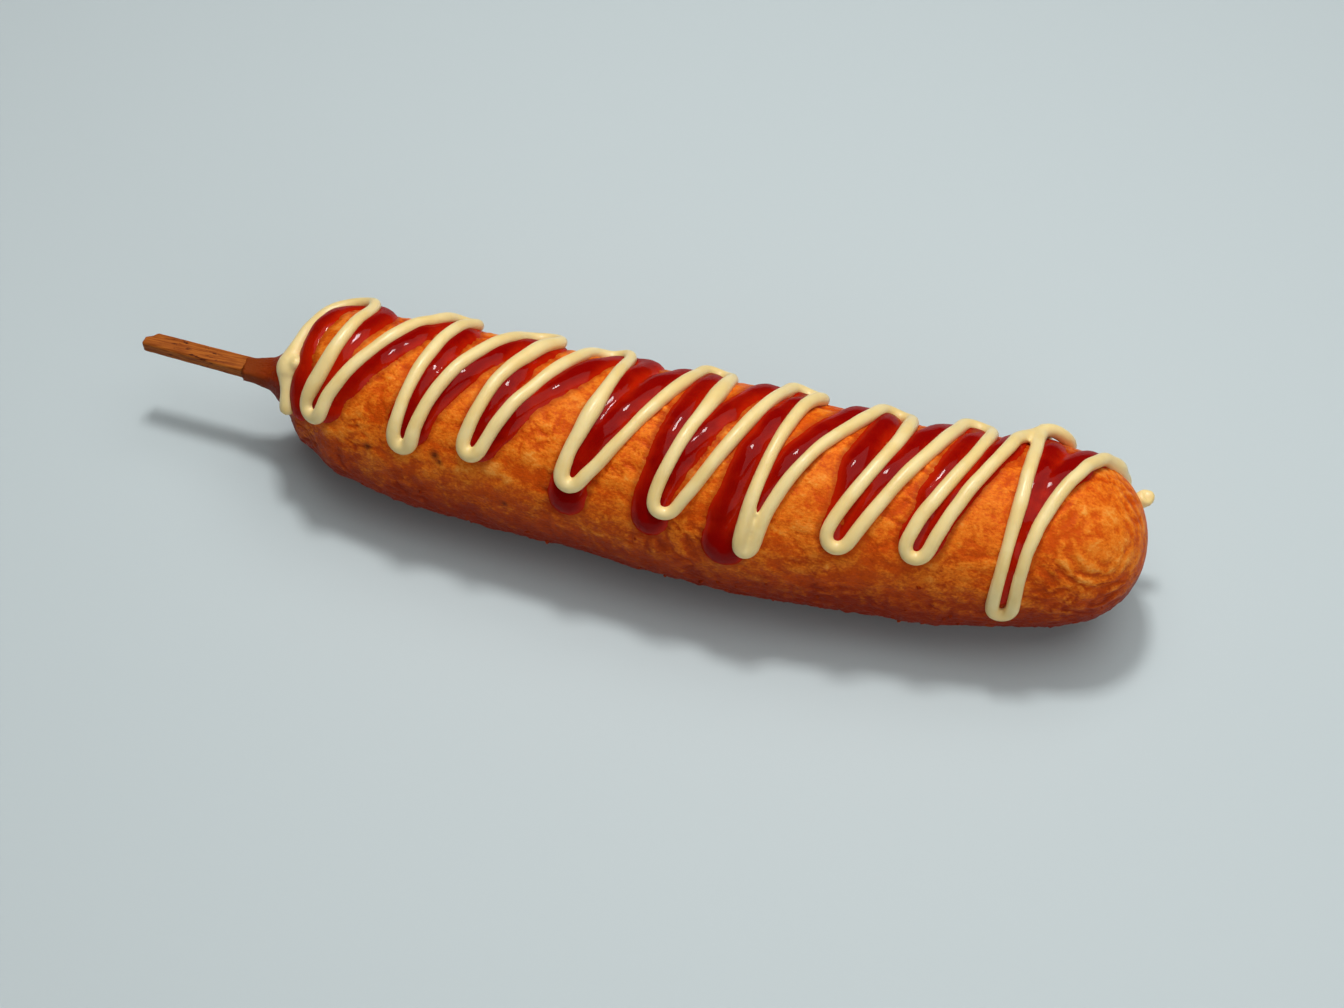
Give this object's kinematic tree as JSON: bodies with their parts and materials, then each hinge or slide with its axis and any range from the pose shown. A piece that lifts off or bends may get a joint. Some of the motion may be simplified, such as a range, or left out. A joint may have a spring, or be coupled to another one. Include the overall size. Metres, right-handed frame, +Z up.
{
  "type": "corn dog",
  "caption": "Battered sausage on a flat wooden stick, fried, with ketchup and mayonnaise drizzled across its top in zigzags.",
  "frame": {"origin": "middle of the small flat spot under the belly, on the surface that the corn dog lies on", "axes": "+X runs along the body from the stick to the round end; +Z is up; the side with the sauce turns lower down faces -Y"},
  "size_m": [0.232, 0.049, 0.0467],
  "materials": {
    "fried_batter": "uneven golden-orange fried batter, browner underneath, slightly oily",
    "ketchup": "wet, glossy, slightly see-through red",
    "mayonnaise": "smooth, softly glossy pale yellow",
    "bamboo": "bamboo browned by frying oil, with scorched fibres"
  },
  "bodies": {
    "root": {"batter_crust": "fried_batter", "stick": "bamboo"}
  },
  "joints": []
}
